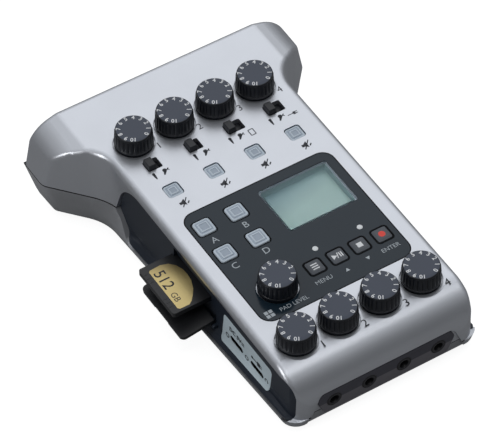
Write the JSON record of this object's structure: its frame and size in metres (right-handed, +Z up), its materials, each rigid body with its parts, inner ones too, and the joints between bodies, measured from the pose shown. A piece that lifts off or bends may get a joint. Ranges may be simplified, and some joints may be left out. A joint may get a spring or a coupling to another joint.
{
  "type": "podcast recorder",
  "caption": "Desktop podcast recorder with gain and volume knobs, mute keys, sound pads, display, rear microphone inputs and front phones sockets.",
  "frame": {"origin": "middle of the footprint, at the bottom of the rubber feet", "axes": "+X to the right of a person at the front, +Y towards the rear microphone inputs, +Z up"},
  "size_m": [0.112, 0.156, 0.0462],
  "materials": {
    "silver_plastic": "fine satin moulding",
    "shell_grey": "matt moulding",
    "side_black": "fine matt grain",
    "overlay_slate": "smooth matt film",
    "knob_black": "ribbed, matt",
    "key_grey": "soft matt",
    "key_dark": "soft matt",
    "window_clear": "clear polished",
    "display_grey": "glossy",
    "plate_grey": "printed film",
    "steel": "brushed",
    "nickel": "plated",
    "board_green": "solder mask",
    "foot_rubber": "soft matt",
    "led_clear": "clear lens",
    "card_black": "printed label"
  },
  "bodies": {
    "housing": {"top_shell": "silver_plastic", "bottom_shell": "shell_grey", "left_side_panel": "side_black", "right_side_panel": "side_black", "front_jack_strip": "side_black", "rear_connector_panel": "side_black", "control_overlay": "overlay_slate", "display_window": "window_clear", "lcd_module": "display_grey", "control_board": "board_green", "main_board": "board_green", "potentiometers": "steel", "switch_bodies": "steel", "status_leds": "led_clear", "battery_contacts": "nickel", "rubber_feet": "foot_rubber", "case_screws": "steel", "port_plate": "plate_grey", "usb_ports": "nickel", "card_socket": "steel", "headphone_jacks": "side_black", "xlr_connectors": "side_black", "phone_jack": "side_black", "adapter_port": "side_black"},
    "battery_cover_body": {"battery_cover": "shell_grey"},
    "memory_card_body": {"memory_card": "card_black"},
    "card_cover_body": {"card_cover": "side_black"},
    "power_slider_body": {"power_slider": "side_black"},
    "adapter_cover_body": {"adapter_cover": "side_black"},
    "pad_level_knob_body": {"pad_level_knob": "knob_black"},
    "gain_knob_1_body": {"gain_knob_1": "knob_black"},
    "volume_knob_1_body": {"volume_knob_1": "knob_black"},
    "input_switch_1_body": {"input_switch_1": "key_dark"},
    "mute_button_1_body": {"mute_button_1": "key_grey"},
    "xlr_latch_1_body": {"xlr_latch_1": "steel"},
    "gain_knob_2_body": {"gain_knob_2": "knob_black"},
    "volume_knob_2_body": {"volume_knob_2": "knob_black"},
    "input_switch_2_body": {"input_switch_2": "key_dark"},
    "mute_button_2_body": {"mute_button_2": "key_grey"},
    "xlr_latch_2_body": {"xlr_latch_2": "steel"},
    "gain_knob_3_body": {"gain_knob_3": "knob_black"},
    "volume_knob_3_body": {"volume_knob_3": "knob_black"},
    "input_switch_3_body": {"input_switch_3": "key_dark"},
    "mute_button_3_body": {"mute_button_3": "key_grey"},
    "xlr_latch_3_body": {"xlr_latch_3": "steel"},
    "gain_knob_4_body": {"gain_knob_4": "knob_black"},
    "volume_knob_4_body": {"volume_knob_4": "knob_black"},
    "input_switch_4_body": {"input_switch_4": "key_dark"},
    "mute_button_4_body": {"mute_button_4": "key_grey"},
    "xlr_latch_4_body": {"xlr_latch_4": "steel"},
    "pad_button_a_body": {"pad_button_a": "key_grey"},
    "pad_button_b_body": {"pad_button_b": "key_grey"},
    "pad_button_c_body": {"pad_button_c": "key_grey"},
    "pad_button_d_body": {"pad_button_d": "key_grey"},
    "menu_button_body": {"menu_button": "key_dark"},
    "play_button_body": {"play_button": "key_dark"},
    "stop_button_body": {"stop_button": "key_dark"},
    "record_button_body": {"record_button": "key_dark"}
  },
  "joints": [
    {"name": "gain_turn_1", "type": "hinge", "parent": "housing", "child": "gain_knob_1_body", "pos_m": [-0.0255, 0.04609, 0.0385], "axis": [0, -0.1002, 0.995], "range_deg": [-150, 150]},
    {"name": "volume_turn_1", "type": "hinge", "parent": "housing", "child": "volume_knob_1_body", "pos_m": [-0.0255, -0.06102, 0.02772], "axis": [0, -0.1002, 0.995], "range_deg": [-150, 150]},
    {"name": "input_slide_1", "type": "slide", "parent": "housing", "child": "input_switch_1_body", "axis": [1, 0, 0], "range_m": [0, 0.0022]},
    {"name": "mute_press_1", "type": "slide", "parent": "housing", "child": "mute_button_1_body", "axis": [0, 0.1002, -0.995], "range_m": [0, 0.0008], "stiffness_N_per_m": 1000, "springref_m": -0.0002},
    {"name": "latch_press_1", "type": "slide", "parent": "housing", "child": "xlr_latch_1_body", "axis": [0, -0.995, -0.1002], "range_m": [0, 0.0015], "stiffness_N_per_m": 600, "springref_m": -0.0003},
    {"name": "gain_turn_2", "type": "hinge", "parent": "housing", "child": "gain_knob_2_body", "pos_m": [-0.0085, 0.04609, 0.0385], "axis": [0, -0.1002, 0.995], "range_deg": [-150, 150]},
    {"name": "volume_turn_2", "type": "hinge", "parent": "housing", "child": "volume_knob_2_body", "pos_m": [-0.0085, -0.06102, 0.02772], "axis": [0, -0.1002, 0.995], "range_deg": [-150, 150]},
    {"name": "input_slide_2", "type": "slide", "parent": "housing", "child": "input_switch_2_body", "axis": [1, 0, 0], "range_m": [0, 0.0022]},
    {"name": "mute_press_2", "type": "slide", "parent": "housing", "child": "mute_button_2_body", "axis": [0, 0.1002, -0.995], "range_m": [0, 0.0008], "stiffness_N_per_m": 1000, "springref_m": -0.0002},
    {"name": "latch_press_2", "type": "slide", "parent": "housing", "child": "xlr_latch_2_body", "axis": [0, -0.995, -0.1002], "range_m": [0, 0.0015], "stiffness_N_per_m": 600, "springref_m": -0.0003},
    {"name": "gain_turn_3", "type": "hinge", "parent": "housing", "child": "gain_knob_3_body", "pos_m": [0.0085, 0.04609, 0.0385], "axis": [0, -0.1002, 0.995], "range_deg": [-150, 150]},
    {"name": "volume_turn_3", "type": "hinge", "parent": "housing", "child": "volume_knob_3_body", "pos_m": [0.0085, -0.06102, 0.02772], "axis": [0, -0.1002, 0.995], "range_deg": [-150, 150]},
    {"name": "input_slide_3", "type": "slide", "parent": "housing", "child": "input_switch_3_body", "axis": [1, 0, 0], "range_m": [0, 0.0035]},
    {"name": "mute_press_3", "type": "slide", "parent": "housing", "child": "mute_button_3_body", "axis": [0, 0.1002, -0.995], "range_m": [0, 0.0008], "stiffness_N_per_m": 1000, "springref_m": -0.0002},
    {"name": "latch_press_3", "type": "slide", "parent": "housing", "child": "xlr_latch_3_body", "axis": [0, -0.995, -0.1002], "range_m": [0, 0.0015], "stiffness_N_per_m": 600, "springref_m": -0.0003},
    {"name": "gain_turn_4", "type": "hinge", "parent": "housing", "child": "gain_knob_4_body", "pos_m": [0.0255, 0.04609, 0.0385], "axis": [0, -0.1002, 0.995], "range_deg": [-150, 150]},
    {"name": "volume_turn_4", "type": "hinge", "parent": "housing", "child": "volume_knob_4_body", "pos_m": [0.0255, -0.06102, 0.02772], "axis": [0, -0.1002, 0.995], "range_deg": [-150, 150]},
    {"name": "input_slide_4", "type": "slide", "parent": "housing", "child": "input_switch_4_body", "axis": [1, 0, 0], "range_m": [0, 0.0035]},
    {"name": "mute_press_4", "type": "slide", "parent": "housing", "child": "mute_button_4_body", "axis": [0, 0.1002, -0.995], "range_m": [0, 0.0008], "stiffness_N_per_m": 1000, "springref_m": -0.0002},
    {"name": "latch_press_4", "type": "slide", "parent": "housing", "child": "xlr_latch_4_body", "axis": [0, -0.995, -0.1002], "range_m": [0, 0.0015], "stiffness_N_per_m": 600, "springref_m": -0.0003},
    {"name": "pad_level_turn", "type": "hinge", "parent": "housing", "child": "pad_level_knob_body", "pos_m": [-0.01835, -0.03798, 0.03004], "axis": [0, -0.1002, 0.995], "range_deg": [-150, 150]},
    {"name": "pad_press_a", "type": "slide", "parent": "housing", "child": "pad_button_a_body", "axis": [0, 0.1002, -0.995], "range_m": [0, 0.0008], "stiffness_N_per_m": 1000, "springref_m": -0.0002},
    {"name": "pad_press_b", "type": "slide", "parent": "housing", "child": "pad_button_b_body", "axis": [0, 0.1002, -0.995], "range_m": [0, 0.0008], "stiffness_N_per_m": 1000, "springref_m": -0.0002},
    {"name": "pad_press_c", "type": "slide", "parent": "housing", "child": "pad_button_c_body", "axis": [0, 0.1002, -0.995], "range_m": [0, 0.0008], "stiffness_N_per_m": 1000, "springref_m": -0.0002},
    {"name": "pad_press_d", "type": "slide", "parent": "housing", "child": "pad_button_d_body", "axis": [0, 0.1002, -0.995], "range_m": [0, 0.0008], "stiffness_N_per_m": 1000, "springref_m": -0.0002},
    {"name": "menu_press", "type": "slide", "parent": "housing", "child": "menu_button_body", "axis": [0, 0.1002, -0.995], "range_m": [0, 0.0008], "stiffness_N_per_m": 1000, "springref_m": -0.0002},
    {"name": "play_press", "type": "slide", "parent": "housing", "child": "play_button_body", "axis": [0, 0.1002, -0.995], "range_m": [0, 0.0008], "stiffness_N_per_m": 1000, "springref_m": -0.0002},
    {"name": "stop_press", "type": "slide", "parent": "housing", "child": "stop_button_body", "axis": [0, 0.1002, -0.995], "range_m": [0, 0.0008], "stiffness_N_per_m": 1000, "springref_m": -0.0002},
    {"name": "record_press", "type": "slide", "parent": "housing", "child": "record_button_body", "axis": [0, 0.1002, -0.995], "range_m": [0, 0.0008], "stiffness_N_per_m": 1000, "springref_m": -0.0002},
    {"name": "card_slide", "type": "slide", "parent": "housing", "child": "memory_card_body", "axis": [-1, 0, 0], "range_m": [-0.011, 0.01]},
    {"name": "card_cover_swing", "type": "hinge", "parent": "housing", "child": "card_cover_body", "pos_m": [-0.0379, -0.01118, 0.01334], "axis": [0, 0.995, 0.1002], "range_deg": [-19, 14]},
    {"name": "power_slide", "type": "slide", "parent": "housing", "child": "power_slider_body", "axis": [0, 0.995, 0.1002], "range_m": [-0.002, 0.0025]},
    {"name": "adapter_cover_pull", "type": "slide", "parent": "housing", "child": "adapter_cover_body", "axis": [1, 0, 0], "range_m": [0, 0.008]},
    {"name": "battery_cover_swing", "type": "hinge", "parent": "housing", "child": "battery_cover_body", "pos_m": [0, 0.01259, 0.0026], "axis": [-1, 0, 0], "range_deg": [0, 75]}
  ]
}
